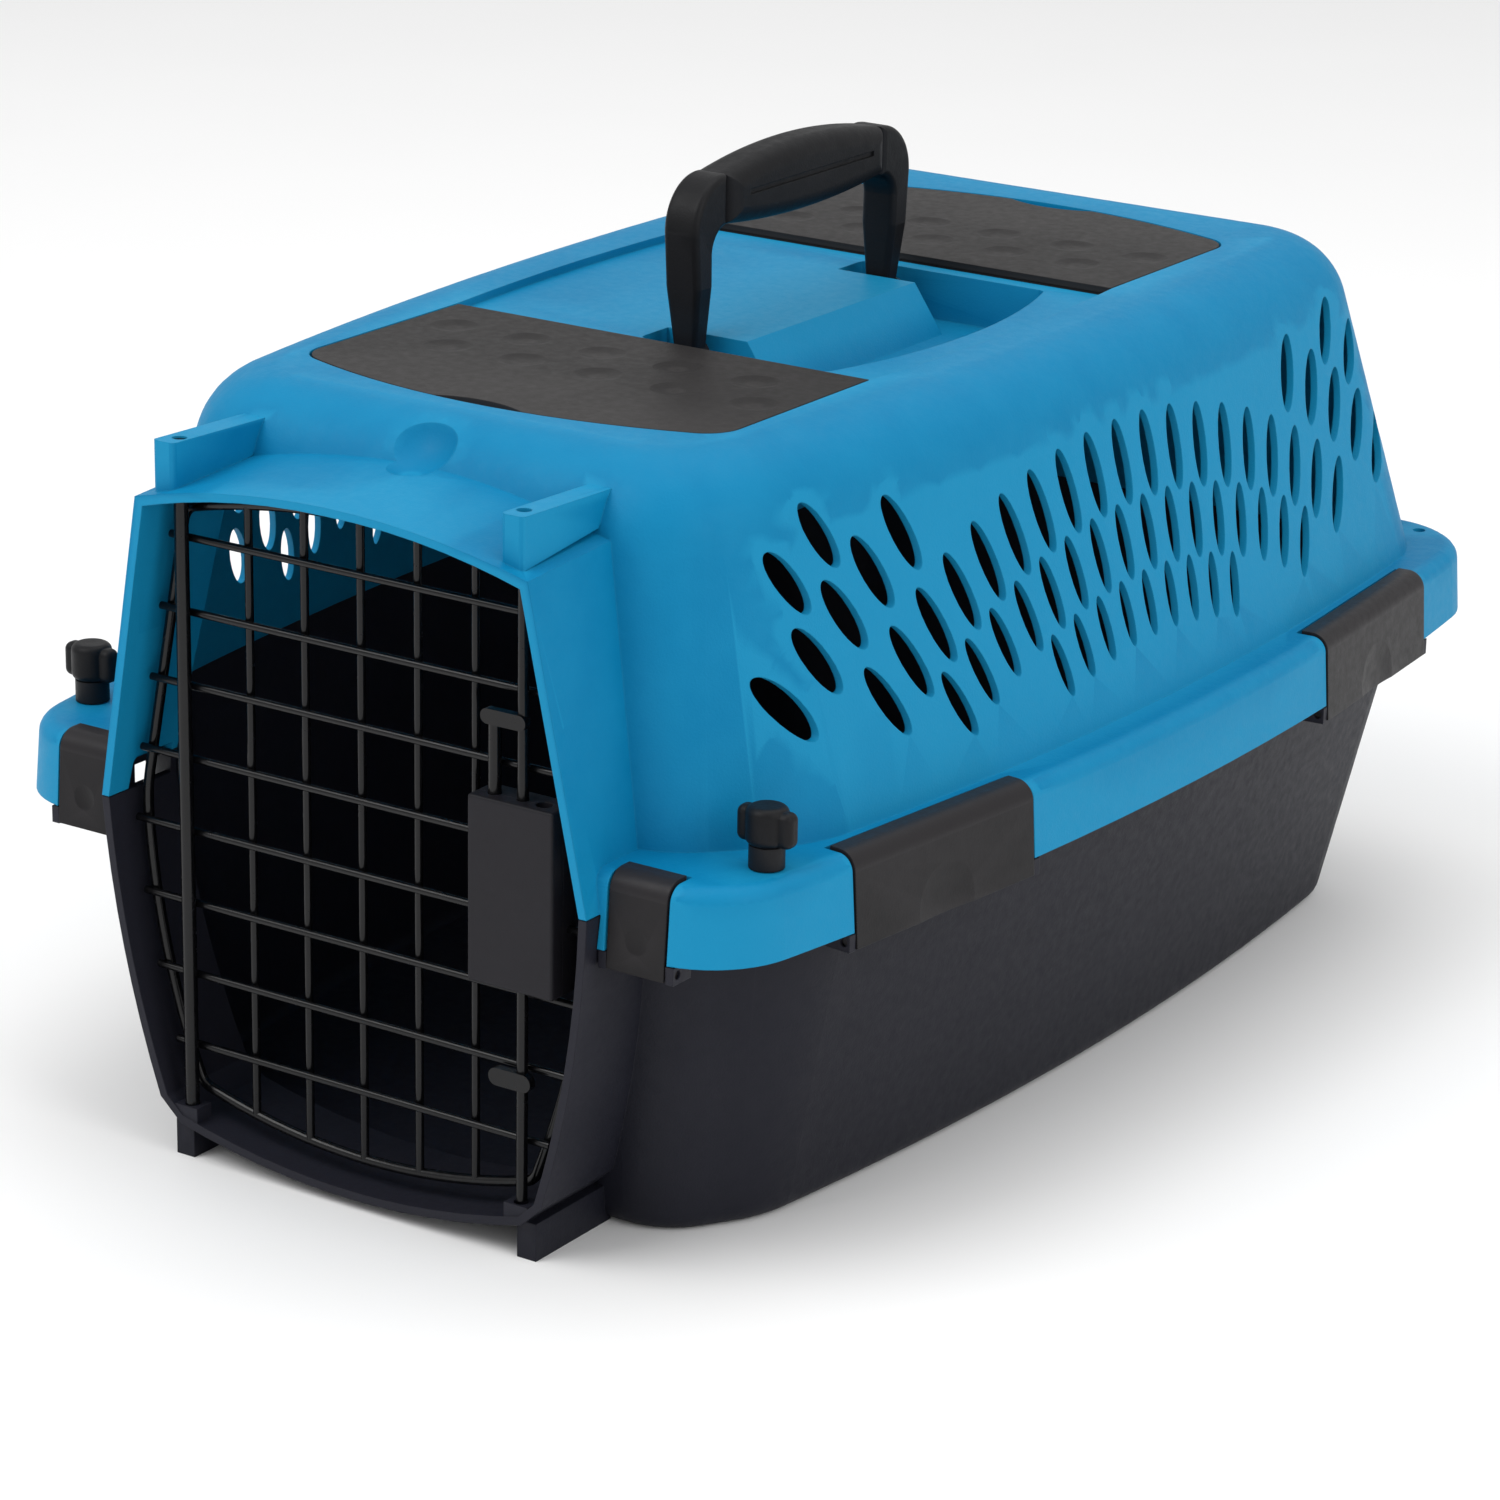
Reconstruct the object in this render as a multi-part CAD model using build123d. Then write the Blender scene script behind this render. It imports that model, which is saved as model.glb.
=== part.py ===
from build123d import *
import math
import os

# Hard-sided pet carrier: a base shell and a clipped-on top shell with a wire door at the front,
# two storage lids and a folding handle on the roof, and clips and wing knobs along the rim.
# Millimetres. The door faces -Y, +Z is up, and the origin is at the bottom centre of the whole object.

# ---- shells: the plan outline at the joint, at the roof and at the floor
WALL = 3.0
JOINT_Z = 142.0
ROOF_Z = 275.5
SIDE_BOW_RADIUS = 1590.0
SIDE_BOW_Y = 35.0
CREASE_SHARE = 0.56
SHOULDER_SHARE = 0.35
# half width, front y, rear y, crease x, shoulder y, shoulder radius, rear corner radius, crease radius
TOP_AT_JOINT = (167.0, -241.5, 264.0, 112.0, -203.0, 60.0, 46.0, 38.0)
TOP_AT_ROOF = (130.0, -229.0, 241.5, 94.0, -198.0, 50.0, 42.0, 40.0)
BASE_AT_JOINT = (168.5, -241.5, 265.5, 113.0, -203.0, 60.0, 46.0, 38.0)
BASE_AT_FLOOR = (140.5, -225.0, 234.5, 103.0, -192.0, 50.0, 34.0, 30.0)
ROOF_RADIUS = 30.0
FLOOR_RADIUS = 7.0
ROUNDING_ANGLES = (10, 25, 40, 53, 65, 75, 83, 90)

# ---- doorway snout
SNOUT_PARTING_Z = 133.0
SNOUT_WALL = 3.2
SNOUT_TOP_Z = 257.5
SNOUT_TOP_CORNER = (83.0, 247.0)
SNOUT_MIDDLE_X = 104.6
SNOUT_LOW_X = 96.0
SNOUT_LOW_Z = 67.0
SNOUT_BOTTOM_CORNER = (84.0, 22.0)
SNOUT_SILL_CORNER = (75.0, 13.5)
SNOUT_BOTTOM_Z = 3.7
SNOUT_BACK_Y = -205.0
HOOD_RISE = 5.0
ARCH_SIDE_SHARE = 0.55
ARCH_DROP_SHARE = 0.3
CORNER_INSET_SHARE = 0.3
CAVITY_FRONT_SHIFT = 3.0
CAVITY_BACK_Y = -193.0
RIM_FRONT_Y = -278.0
RIM_SLOPE = 0.035

# ---- rim flange and skirt
SKIRT_BOTTOM_Z = 121.0
FLANGE_TOP_Z = 148.0
FLANGE_PLATE = 3.0
SKIRT_WALL = 3.0
SKIRT_DRAFT = 2.0
FLANGE_HALF = 183.5
FLANGE_FRONT_Y = -267.0
FLANGE_REAR_Y = 278.0
FLANGE_FRONT_RADIUS = 35.0
FLANGE_REAR_RADIUS = 42.0
FLANGE_EDGE_RADIUS = 6.0
BASE_RIM_PLATE = 3.0
RIM_GAP = 0.5
PART_GAP = 0.4

# ---- side vents: ovals on arcs about one centre, the long axis along the radius
VENT_CENTRE_Y = 10.5
VENT_CENTRE_Z = -65.0
VENT_STEP = 3.67
# arc radius, first angle, holes in half the row, length, width
VENT_ROWS = (
    (298.0, 0.0, 10, 31.0, 9.6),
    (271.0, VENT_STEP / 2, 8, 27.5, 8.0),
    (247.0, 0.0, 5, 24.0, 6.8),
    (332.0, 24.5, 5, 30.0, 11.0),
    (358.0, 30.1, 2, 27.0, 10.5),
)
VENT_DEPTH_FROM_X = 90.0

# ---- roof: lid seats, storage wells and handle recess, measured from the middle of the roof
ROOF_CENTRE_Y = 2.5
TRAY_WALL = 3.5
SEAT_Z = 272.5
SEAT_HALF = 91.0
LID_GAP = 0.8
LID_THICKNESS = 2.5
SEAT_PLATE = 3.0
SEAT_BOW = 4.0
DIVIDER_DEPTH = 8.0
LID_INNER_Y = 86.0
LID_CORNER_Y = 178.0
LID_END_Y = 196.5
LID_CORNER_RADIUS = 14.0
LID_HINGE_Y = 88.5
LID_PEG_RADIUS = 1.65
LID_PEG_END = 94.0
LID_GROOVE_RADIUS = 4.3
LID_KNUCKLE_RADIUS = 2.2
PEG_FIT = 0.08
WELL_HALF = 84.0
WELL_INNER_Y = 96.0
WELL_OUTER_Y = 170.0
WELL_FLOOR_Z = 240.0
WELL_RADIUS = 8.0
DIMPLE_RADIUS = 9.0
DIMPLE_ROWS = ((113.0, (-72, -39, -6, 27, 60)), (138.0, (-56, -23, 10, 43, 76)))
DIMPLE_DEPTH = 0.9
NOTCH_RADIUS = 40.0
NOTCH_DEPTH = 5.5
DENT_CENTRE = (0.0, -231.0, 275.0)
DENT_RADIUS = 17.0
RECESS_FLOOR_Z = 254.0
RECESS_END_Y = 77.0
RECESS_REACH = 79.0
RECESS_CORNER_REACH = 66.5
RECESS_BACK_X = -15.0
PLATFORM_END_Y = 58.0
PLATFORM_TOP_X = 20.0
PLATFORM_FOOT_X = 33.0

# ---- handle, upright over the middle of the roof
HANDLE_PIVOT_Z = 265.5
HANDLE_TOP_Z = 337.0
HANDLE_OUTER_Y = 73.5
HANDLE_INNER_Y = 61.5
HANDLE_UNDER_Z = 313.0
HANDLE_BELLY_Z = 309.5
HANDLE_SEAM_Y = 53.0
HANDLE_SEAM_TOP_Z = 332.0
HANDLE_THICK = 15.0
LEG_FOOT_OUTER_Y = 70.0
LEG_INNER_FOOT_Y = 61.0
LEG_FOOT_THICK = 9.0
LEG_EYE_RADIUS = 6.0
LEG_SOFTNESS = 2.5
MIN_SOFT_EDGE = 3.0
LEG_TAPER_Z = 312.0
LEG_STRAIGHT_Z = 292.0
LEG_INNER_BEND_Z = 304.0
LEG_INNER_BEND = (59.1, 309.8)
LEG_OUTER_BEND = (67.9, 326.3)
CORE_END_Y = 57.0
GROOVE_Z = 324.0
GROOVE_HALF = 1.0
GRIP_THICK = 20.0
GRIP_ROUND = 7.0
GRIP_GROOVE_DEPTH = 0.8
GRIP_GROOVE_Y = 42.0
HANDLE_CORE = (8.0, 12.0)
HANDLE_CORE_Z = 322.0
HANDLE_PIN_RADIUS = 2.5
PIN_FIT = 0.08
PIN_BITE = 3.0

# ---- door
ROD_X = 72.7
ROD_Y = -265.5
HINGE_ROD_RADIUS = 2.55
LATCH_ROD_RADIUS = 2.0
ROD_FIT = 0.1
HORIZONTAL_Y = -261.7
UPRIGHT_Y = -259.1
OUTLINE_Y = -258.7
HORIZONTAL_RADIUS = 1.4
UPRIGHT_RADIUS = 1.5
OUTLINE_RADIUS = 1.9
OUTLINE_CORNER = 7.0
OUTLINE_BEND = 60.0
HORIZONTAL_FIRST_Z = 42.2
HORIZONTAL_PITCH = 26.9
HORIZONTAL_COUNT = 8
UPRIGHT_COUNT = 5
UPRIGHT_PITCH = 24.2
CROSS_OVERHANG = 2.5
DOOR_BOTTOM_CORNER = (73.0, 26.0)
DOOR_BOTTOM_Z = 15.0
DOOR_LOW_SIDE = (87.6, 70.0)
DOOR_MIDDLE = (96.3, 133.0)
DOOR_TOP_CORNER = (76.3, 240.0)
DOOR_TOP_Z = 249.5
HINGE_ROD_TOP = 266.0
HINGE_ROD_FOOT_Z = 15.0

# ---- ears and sill that hold the door's rods
EAR_TOP_Z = 267.0
EAR_FRONT_Y = -273.5
EAR_REAR_Y = -224.0
EAR_CENTRE_X = 73.6
EAR_WIDTH = 9.4
EAR_ROOT = 9.0
EAR_REAR_DROP = 1.5
EAR_REAR_LEAN = 7.0
EAR_REAR_RISE = 5.0
EAR_ROUND = 2.0
SILL_TOP_Z = 20.5
SILL_HALF_WIDTH = 5.0
SILL_FRONT_Y = -269.2
SILL_BACK_Y = -261.2
SILL_HOLE_Z = 14.6

# ---- feet under the snout
FOOT_X = 75.5
FOOT_WIDTH = 8.0
FOOT_FRONT_Y = -266.5
FOOT_REAR_Y = -222.0
FOOT_TOP_Z = 14.0

# ---- latch housing on the door and its two sliding rods
HOUSING_X = (53.7, 89.2)
HOUSING_Y = (-271.5, -257.0)
HOUSING_Z = (99.5, 166.5)
HOUSING_WALL = 2.0
HOUSING_ROUND = 1.2
PLUNGER_X = 61.0
PLUNGER_RADIUS = 2.3
SPARE_HOLE_X = 81.5
SPARE_HOLE_RADIUS = 3.0
LATCH_ROD_TOP = 243.6
LATCH_ROD_FOOT_Z = 21.2
UPPER_ROD_FOOT_Z = 141.0
LOWER_ROD_HEAD_Z = 124.0
COLLAR_RADIUS = 3.7
COLLAR_THICK = 2.0
GUIDE_LENGTH = 5.0
HOUSING_DIVIDER = 2.0
TAB_WIDTH = 6.4
TAB_THICK = 3.2
TAB_Y = -266.8
UPPER_TAB = (57.0, 75.5, 194.0)
LOWER_TAB = (60.5, 78.0, 65.5)
UPPER_TAB_HEIGHT = 5.4
LOWER_TAB_HEIGHT = 6.4

# ---- clips along the rim
CLIP_BOTTOM_Z = 115.0
CLIP_TOP_Z = 149.0
CLIP_THICK = 2.6
CLIP_LIP = 13.0
CLIP_BEND = 7.0
CLIP_LIP_THICK = 2.4
CLIP_PIVOT_Z = 117.8
CLIP_PIVOT_INSET = 3.2
CLIP_BARREL_RADIUS = 2.6
CLIP_PIN_RADIUS = 1.5
CLIP_PIN_LENGTH = 2.6
CLIP_LUG = 3.2
CLIP_LUG_HEIGHT = 6.0
LUG_ROOT = 11.0
LUG_INSET = 0.6
HANGER_INSET = 6.4
NOTCH_SIDE_GAP = 0.9
NOTCH_INSET = 15.0
NOTCH_DEPTH_IN = 8.8
SIDE_CLIP_LENGTH = 98.0
SIDE_SCOOP_RADIUS = 150.0
FRONT_SCOOP_RADIUS = 22.0
SCOOP_DEPTH = 1.3
SCOOP_RISE = 13.0
CLIP_LEAN_SHARE = 0.7
SIDE_CLIPS = {"front": -154.5, "rear": 157.5}
FRONT_CLIP_LENGTH = 23.0
FRONT_CLIP_X = 119.5

# ---- wing knobs and bolts
KNOB_X = 146.4
KNOB_Y = -229.5
KNOB_HEIGHT = 22.0
KNOB_WING = 22.0
KNOB_STEM_RADIUS = 6.2
KNOB_HEAD_RADIUS = 7.4
KNOB_WING_THICK = 7.0
KNOB_STEM_HEIGHT = 8.0
KNOB_CLEAR = 0.4
KNOB_ROUND = 2.8
WING_DROP = 0.5
BOLT_HEAD_ROUND = 0.8
BOLT_RADIUS = 2.5
BOLT_HOLE_RADIUS = 3.0
BOLT_HEAD_RADIUS = 6.0
BOLT_HEAD_THICK = 3.0
BOLT_DEPTH = 15.0
BOSS_RADIUS = 7.5
REAR_HOLE_X = 143.0
REAR_HOLE_Y = 262.0
REAR_HOLE_RADIUS = 2.6

FAR = 400.0
made = {}


def keep(name, shape):
    """Files a finished piece under its name."""
    made[name] = shape


def box(x0, x1, y0, y1, z0, z1):
    """A box between two corners."""
    centre = Pos((x0 + x1) / 2, (y0 + y1) / 2, (z0 + z1) / 2)
    return centre * Box(abs(x1 - x0), abs(y1 - y0), abs(z1 - z0))


def rod_z(x, y, z0, z1, radius):
    """An upright round bar."""
    return Pos(x, y, (z0 + z1) / 2) * Cylinder(radius, abs(z1 - z0))


def rod_x(x0, x1, y, z, radius):
    """A round bar from side to side."""
    return Pos((x0 + x1) / 2, y, z) * Rot(0, 90, 0) * Cylinder(radius, abs(x1 - x0))


def rod_y(y0, y1, x, z, radius):
    """A round bar from front to rear."""
    return Pos(x, (y0 + y1) / 2, z) * Rot(90, 0, 0) * Cylinder(radius, abs(y1 - y0))


def slab(outline, z0, z1):
    """A plan outline drawn up between two heights."""
    return extrude(Pos(0, 0, z0) * outline, amount=z1 - z0, dir=(0, 0, 1))


def left_of(shape):
    """The same piece on the other side of the carrier."""
    return mirror(shape, about=Plane.YZ)


def both_sides(shape):
    return shape + left_of(shape)


def blend(low, high, share):
    """A value part of the way between two."""
    return low + (high - low) * share


def side_x(half, y):
    """Half-width of a bowed side at y."""
    return half - (y - SIDE_BOW_Y) ** 2 / (2 * SIDE_BOW_RADIUS)


# ---------------------------------------------------------------- shell bodies

def rounded_half(edges, corners, z):
    """The right half of a plan outline, closed down the middle, with its corners rounded."""
    face = Sketch() + Face(Wire(edges))
    for corner_x, corner_y, radius in corners:
        corner = face.vertices().sort_by_distance((corner_x, corner_y, 0))[0]
        face = fillet(corner, radius)
    return Pos(0, 0, z) * face


def body_section(z, half, front_y, rear_y, crease_x, shoulder_y, shoulder_radius, rear_radius, crease_radius):
    """Half plan of a shell at z: flat front, slanted shoulder, bowed side, round rear corner."""
    shoulder_x = side_x(half, shoulder_y)
    rear_x = side_x(half, rear_y)
    mid_y = (shoulder_y + rear_y) / 2
    edges = [
        Edge.make_line((0, front_y), (crease_x, front_y)),
        Edge.make_line((crease_x, front_y), (shoulder_x, shoulder_y)),
        Edge.make_three_point_arc((shoulder_x, shoulder_y), (side_x(half, mid_y), mid_y), (rear_x, rear_y)),
        Edge.make_line((rear_x, rear_y), (0, rear_y)),
        Edge.make_line((0, rear_y), (0, front_y)),
    ]
    corners = (
        (crease_x, front_y, crease_radius),
        (shoulder_x, shoulder_y, shoulder_radius),
        (rear_x, rear_y, rear_radius),
    )
    return rounded_half(edges, corners, z)


def rounding_inset(height, radius, lean):
    """How far a round edge stands in from a leaning wall, at a height above the round's centre."""
    slope = math.atan(lean)
    if height <= radius * math.sin(slope):
        return 0.0
    return radius / math.cos(slope) - height * lean - math.sqrt(max(radius ** 2 - height ** 2, 0.0))


def leaning_section(z, start, end, start_z, end_z, inset, radius):
    """A section between two plans, set in by a wall and rounded over towards end_z."""
    share = (z - start_z) / (end_z - start_z)
    rise = abs(end_z - start_z)
    height = abs(z - start_z) - (rise - radius - inset)
    plan = [blend(low, high, share) for low, high in zip(start, end)]
    half_in = rounding_inset(height, radius, (start[0] - end[0]) / rise) + inset
    front_in = rounding_inset(height, radius, (end[1] - start[1]) / rise) + inset
    rear_in = rounding_inset(height, radius, (start[2] - end[2]) / rise) + inset
    return body_section(
        z,
        plan[0] - half_in,
        plan[1] + front_in,
        plan[2] - rear_in,
        plan[3] - CREASE_SHARE * front_in,
        plan[4] + SHOULDER_SHARE * front_in,
        plan[5] - half_in,
        plan[6] - rear_in,
        plan[7] - front_in,
    )


def shell_half(start, end, start_z, end_z, edge_radius, inset):
    """Half of a shell's solid: straight leaning walls that round over to a flat top or floor."""
    radius = edge_radius - inset
    direction = 1 if end_z > start_z else -1
    edge_start = end_z - direction * (radius + inset)
    rounding = [edge_start + direction * radius * math.sin(math.radians(a)) for a in ROUNDING_ANGLES]

    def section(z):
        return leaning_section(z, start, end, start_z, end_z, inset, radius)

    wall = loft([section(start_z), section(edge_start)], ruled=True)
    return wall + loft([section(z) for z in [edge_start] + rounding])


def top_half(inset):
    return shell_half(TOP_AT_JOINT, TOP_AT_ROOF, JOINT_Z, ROOF_Z, ROOF_RADIUS, inset)


def base_half(inset):
    return shell_half(BASE_AT_JOINT, BASE_AT_FLOOR, JOINT_Z, 0.0, FLOOR_RADIUS, inset)


# ---------------------------------------------------------------- snout and flange

def rim_y(z):
    """The doorway rim leans forward towards the top."""
    return RIM_FRONT_Y + (SNOUT_TOP_Z - z) * RIM_SLOPE


def snout_wire(inset, rise, depth):
    """Half of the barrel-shaped doorway outline. depth(z) gives its y; rise lifts the hood."""
    lift = rise / (SNOUT_TOP_Z - SNOUT_PARTING_Z)

    def point(x, z):
        raised = z + max(z - SNOUT_PARTING_Z, 0.0) * lift
        return (x, depth(raised), raised)

    top_x, top_z = SNOUT_TOP_CORNER
    low_x, low_z = SNOUT_BOTTOM_CORNER
    sill_x, sill_z = SNOUT_SILL_CORNER
    bottom = point(0, SNOUT_BOTTOM_Z + inset)
    bottom_side = point(ARCH_SIDE_SHARE * sill_x, blend(SNOUT_BOTTOM_Z, sill_z, ARCH_DROP_SHARE) + inset)
    sill = point(sill_x - CORNER_INSET_SHARE * inset, sill_z + inset)
    low = point(low_x - inset, low_z + CORNER_INSET_SHARE * inset)
    low_side = point(SNOUT_LOW_X - inset, SNOUT_LOW_Z)
    middle = point(SNOUT_MIDDLE_X - inset, SNOUT_PARTING_Z)
    corner = point(top_x - inset, top_z - inset)
    hood_side = point(ARCH_SIDE_SHARE * top_x, blend(SNOUT_TOP_Z, top_z, ARCH_DROP_SHARE) - inset)
    hood = point(0, SNOUT_TOP_Z - inset)
    return Wire([
        Edge.make_three_point_arc(bottom, bottom_side, sill),
        Edge.make_line(sill, low),
        Edge.make_three_point_arc(low, low_side, middle),
        Edge.make_line(middle, corner),
        Edge.make_three_point_arc(corner, hood_side, hood),
        Edge.make_line(hood, bottom),
    ])


def snout_half(inset, front_shift, back_y):
    """Half of the snout's solid, from the rim back into the body."""
    front = snout_wire(inset, 0.0, lambda z: rim_y(z) - front_shift)
    share = (back_y - RIM_FRONT_Y) / (SNOUT_BACK_Y - RIM_FRONT_Y)
    back = snout_wire(inset, HOOD_RISE * share, lambda z: back_y)
    return Part() + Solid.make_loft([front, back], True)


def flange_section(z, inset):
    """Half plan of the rim flange."""
    half = FLANGE_HALF - inset
    front_y = FLANGE_FRONT_Y + inset
    rear_y = FLANGE_REAR_Y - inset
    front_x = side_x(half, front_y)
    rear_x = side_x(half, rear_y)
    edges = [
        Edge.make_line((0, front_y), (front_x, front_y)),
        Edge.make_three_point_arc((front_x, front_y), (side_x(half, 0), 0), (rear_x, rear_y)),
        Edge.make_line((rear_x, rear_y), (0, rear_y)),
        Edge.make_line((0, rear_y), (0, front_y)),
    ]
    corners = (
        (front_x, front_y, FLANGE_FRONT_RADIUS - inset),
        (rear_x, rear_y, FLANGE_REAR_RADIUS - inset),
    )
    return rounded_half(edges, corners, z)


def flange_half(inset, top_z):
    """Half of the flange's solid, with a drafted side and a round top edge."""
    drafted = SKIRT_DRAFT * (top_z - SKIRT_BOTTOM_Z) / (FLANGE_TOP_Z - SKIRT_BOTTOM_Z)
    solid = loft([flange_section(SKIRT_BOTTOM_Z, inset), flange_section(top_z, inset + drafted)], ruled=True)
    rim = solid.faces().sort_by(Axis.Z)[-1].edges().filter_by(lambda edge: edge.center().X > 1.0)
    return fillet(rim, FLANGE_EDGE_RADIUS - inset)


# ---------------------------------------------------------------- clips

def clip_places():
    """Where the clips sit: name, then the frame whose +X points out of the skirt."""
    places = {}
    for end, y in SIDE_CLIPS.items():
        turn = math.degrees(math.atan((SIDE_BOW_Y - y) / SIDE_BOW_RADIUS))
        places["side_clip_" + end] = (Location((side_x(FLANGE_HALF, y), y, 0), (0, 0, -turn)), SIDE_CLIP_LENGTH)
    front = Location((FRONT_CLIP_X, FLANGE_FRONT_Y, 0), (0, 0, -90))
    places["front_clip"] = (front, FRONT_CLIP_LENGTH)
    return places


def clip_profile():
    """Closed outline of the clip's section; +X points out of the skirt."""
    draft = SKIRT_DRAFT * (CLIP_TOP_Z - CLIP_BOTTOM_Z) / (FLANGE_TOP_Z - SKIRT_BOTTOM_Z)
    outer_top = -draft * CLIP_LEAN_SHARE
    bend_z = CLIP_TOP_Z - CLIP_BEND
    inner_bend_z = CLIP_TOP_Z - CLIP_LIP_THICK
    lip_x = outer_top - CLIP_BEND
    bulge = CLIP_BEND * (1 - math.sqrt(0.5))
    inner_x = outer_top - CLIP_THICK
    inner_bulge = (CLIP_BEND - CLIP_THICK) * (1 - math.sqrt(0.5))
    outer = [
        Edge.make_line((0, 0, CLIP_BOTTOM_Z), (outer_top, 0, bend_z)),
        Edge.make_three_point_arc(
            (outer_top, 0, bend_z),
            (outer_top - bulge, 0, CLIP_TOP_Z - bulge),
            (lip_x, 0, CLIP_TOP_Z),
        ),
        Edge.make_line((lip_x, 0, CLIP_TOP_Z), (-CLIP_LIP, 0, CLIP_TOP_Z)),
        Edge.make_line((-CLIP_LIP, 0, CLIP_TOP_Z), (-CLIP_LIP, 0, inner_bend_z)),
        Edge.make_line((-CLIP_LIP, 0, inner_bend_z), (lip_x, 0, inner_bend_z)),
        Edge.make_three_point_arc(
            (lip_x, 0, inner_bend_z),
            (inner_x - inner_bulge, 0, inner_bend_z - inner_bulge),
            (inner_x, 0, bend_z),
        ),
        Edge.make_line((inner_x, 0, bend_z), (-CLIP_THICK, 0, CLIP_BOTTOM_Z)),
        Edge.make_line((-CLIP_THICK, 0, CLIP_BOTTOM_Z), (0, 0, CLIP_BOTTOM_Z)),
    ]
    return Sketch() + Face(Wire(outer))


def clip(length):
    """One clip in its own frame: a plate with a hooked lip, a thumb scoop and two hinge stubs."""
    plate = extrude(clip_profile(), amount=length / 2, both=True)
    barrel = rod_y(-length / 2, length / 2, -CLIP_PIVOT_INSET, CLIP_PIVOT_Z, CLIP_BARREL_RADIUS)
    stub = length / 2 + CLIP_PIN_LENGTH
    pin = rod_y(-stub, stub, -CLIP_PIVOT_INSET, CLIP_PIVOT_Z, CLIP_PIN_RADIUS)
    scoop_radius = SIDE_SCOOP_RADIUS if length == SIDE_CLIP_LENGTH else FRONT_SCOOP_RADIUS
    scoop = Pos(scoop_radius - SCOOP_DEPTH, 0, CLIP_BOTTOM_Z + SCOOP_RISE) * Sphere(scoop_radius)
    return plate + barrel + pin - scoop


def clip_lugs(length):
    """The two lugs that hang from the base rim and hold a clip's stubs."""
    inner = length / 2 + PART_GAP
    outer = inner + CLIP_LUG
    low = CLIP_PIVOT_Z - CLIP_LUG_HEIGHT / 2 - PART_GAP
    lugs = Part()
    for side in (-1, 1):
        lugs += box(-LUG_ROOT, -LUG_INSET, side * inner, side * outer, low, SKIRT_BOTTOM_Z - PART_GAP)
        lugs += box(-LUG_ROOT, -HANGER_INSET, side * inner, side * outer, low, JOINT_Z - 1)
    return lugs - rod_y(-outer - 1, outer + 1, -CLIP_PIVOT_INSET, CLIP_PIVOT_Z, CLIP_PIN_RADIUS + PEG_FIT)


def clip_notch(length):
    """What a clip removes from the top shell: the skirt, and a step in the top of the flange."""
    half = length / 2 + NOTCH_SIDE_GAP
    lip_seat = CLIP_TOP_Z - CLIP_LIP_THICK - PART_GAP
    opening = box(-NOTCH_INSET, 5, -half, half, lip_seat, CLIP_TOP_Z + 10)
    skirt = box(-NOTCH_DEPTH_IN, 5, -half, half, 0, CLIP_TOP_Z + 10)
    return opening + skirt


def clip_block(length):
    """The thicker flange under a clip's lip."""
    half = length / 2 + NOTCH_SIDE_GAP + WALL
    lip_seat = CLIP_TOP_Z - CLIP_LIP_THICK - PART_GAP
    return box(-NOTCH_INSET - WALL, -SKIRT_WALL, -half, half, JOINT_Z, lip_seat)


# ---------------------------------------------------------------- vents and roof

def vent_face(angle, radius, length, width):
    """One oval vent in the side view; x is along the carrier and y is up."""
    place = Pos(
        VENT_CENTRE_Y + radius * math.sin(math.radians(angle)),
        VENT_CENTRE_Z + radius * math.cos(math.radians(angle)),
    )
    return place * Rot(0, 0, -angle) * Ellipse(width / 2, length / 2)


def vent_cutters():
    """All the vents of one side, as prisms across the wall."""
    faces = []
    for radius, first, count, length, width in VENT_ROWS:
        for step in range(count):
            angle = first + step * VENT_STEP
            faces.append(vent_face(angle, radius, length, width))
            if angle:
                faces.append(vent_face(-angle, radius, length, width))
    side_plane = Plane(origin=(VENT_DEPTH_FROM_X, 0, 0), x_dir=(0, 1, 0), z_dir=(1, 0, 0))
    return [extrude(side_plane * face, amount=FAR, dir=(1, 0, 0)) for face in faces]


def lid_outline(gap):
    """Plan of the front lid at y < 0, grown by gap: straight hinge edge, round corners, bowed front."""
    half = SEAT_HALF - LID_GAP + gap
    inner_y = -LID_INNER_Y + gap
    corner_y = -LID_CORNER_Y - gap
    end_y = -LID_END_Y - gap
    edges = [
        Edge.make_line((-half, inner_y), (half, inner_y)),
        Edge.make_line((half, inner_y), (half, corner_y)),
        Edge.make_three_point_arc((half, corner_y), (0, end_y), (-half, corner_y)),
        Edge.make_line((-half, corner_y), (-half, inner_y)),
    ]
    face = Sketch() + Face(Wire(edges))
    for side in (-1, 1):
        corner = face.vertices().sort_by_distance((side * half, corner_y, 0))[0]
        face = fillet(corner, LID_CORNER_RADIUS + gap)
    return face


def front_to_rear(shape):
    """The same roof feature at the other end of the roof."""
    return mirror(shape, about=Plane.XZ)


def middle_outline():
    """Plan of the sunken strip between the two lids, its sides bowed outwards."""
    edges = []
    for side in (-1, 1):
        start = (side * SEAT_HALF, -side * LID_INNER_Y)
        end = (side * SEAT_HALF, side * LID_INNER_Y)
        edges.append(Edge.make_three_point_arc(start, (side * (SEAT_HALF + SEAT_BOW), 0), end))
        edges.append(Edge.make_line(end, (-end[0], end[1])))
    return Sketch() + Face(Wire(edges))


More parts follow.
